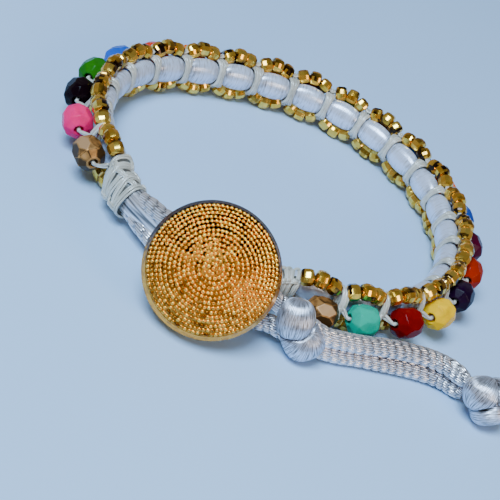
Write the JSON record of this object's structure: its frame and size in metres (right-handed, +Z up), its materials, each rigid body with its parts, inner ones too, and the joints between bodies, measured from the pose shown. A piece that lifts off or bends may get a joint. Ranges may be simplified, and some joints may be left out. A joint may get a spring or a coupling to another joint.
{
  "type": "macrame bracelet",
  "caption": "Closed macrame bracelet: white satin core between edges of gold seed beads, bright faceted beads outside, gold dome button in a double cord loop with ball knots.",
  "frame": {"origin": "centre of the footprint of the band and button, on the surface the bracelet lies on", "axes": "+Z up through the wrist hollow, -Y the front where the button faces, +X toward the loop's free end"},
  "size_m": [0.0649, 0.0643, 0.0134],
  "materials": {
    "satin": "silky braided satin cord, white with a cool sheen",
    "thread": "waxed cream thread, matt, knotted in half knots",
    "gold_beads": "metallic gold lining, cut and polished",
    "gold_metal": "polished gold plate over rows of fine beading",
    "bronze_bead": "metallic bronze glass, fire polished",
    "pink_bead": "opaque glass, facets fire polished",
    "plum_bead": "opaque glass, facets fire polished",
    "green_bead": "opaque glass, facets fire polished",
    "blue_bead": "opaque glass, facets fire polished",
    "coral_bead": "opaque glass, facets fire polished",
    "orange_bead": "opaque glass, facets fire polished",
    "wine_bead": "opaque glass, facets fire polished",
    "yellow_bead": "opaque glass, facets fire polished",
    "garnet_bead": "opaque glass, facets fire polished",
    "navy_bead": "opaque glass, facets fire polished",
    "magenta_bead": "opaque glass, facets fire polished",
    "tangerine_bead": "opaque glass, facets fire polished",
    "aubergine_bead": "opaque glass, facets fire polished",
    "sun_bead": "opaque glass, facets fire polished",
    "ruby_bead": "opaque glass, facets fire polished",
    "turquoise_bead": "opaque glass, facets fire polished"
  },
  "bodies": {
    "root": {"satin_core": "satin", "core_knots": "thread", "upper_edge": "gold_beads", "lower_edge": "gold_beads", "bead_thread": "thread", "bead_01": "bronze_bead", "bead_02": "pink_bead", "bead_03": "plum_bead", "bead_04": "green_bead", "bead_05": "blue_bead", "bead_06": "coral_bead", "bead_07": "orange_bead", "bead_08": "wine_bead", "bead_09": "yellow_bead", "bead_10": "garnet_bead", "bead_11": "green_bead", "bead_12": "garnet_bead", "bead_13": "blue_bead", "bead_14": "orange_bead", "bead_15": "navy_bead", "bead_16": "magenta_bead", "bead_17": "tangerine_bead", "bead_18": "aubergine_bead", "bead_19": "sun_bead", "bead_20": "ruby_bead", "bead_21": "turquoise_bead", "bead_22": "bronze_bead", "left_sleeve": "thread", "right_sleeve": "thread", "button": "gold_metal", "upper_strand": "satin", "lower_strand": "satin", "stop_knot": "satin", "end_knot": "satin"}
  },
  "joints": []
}
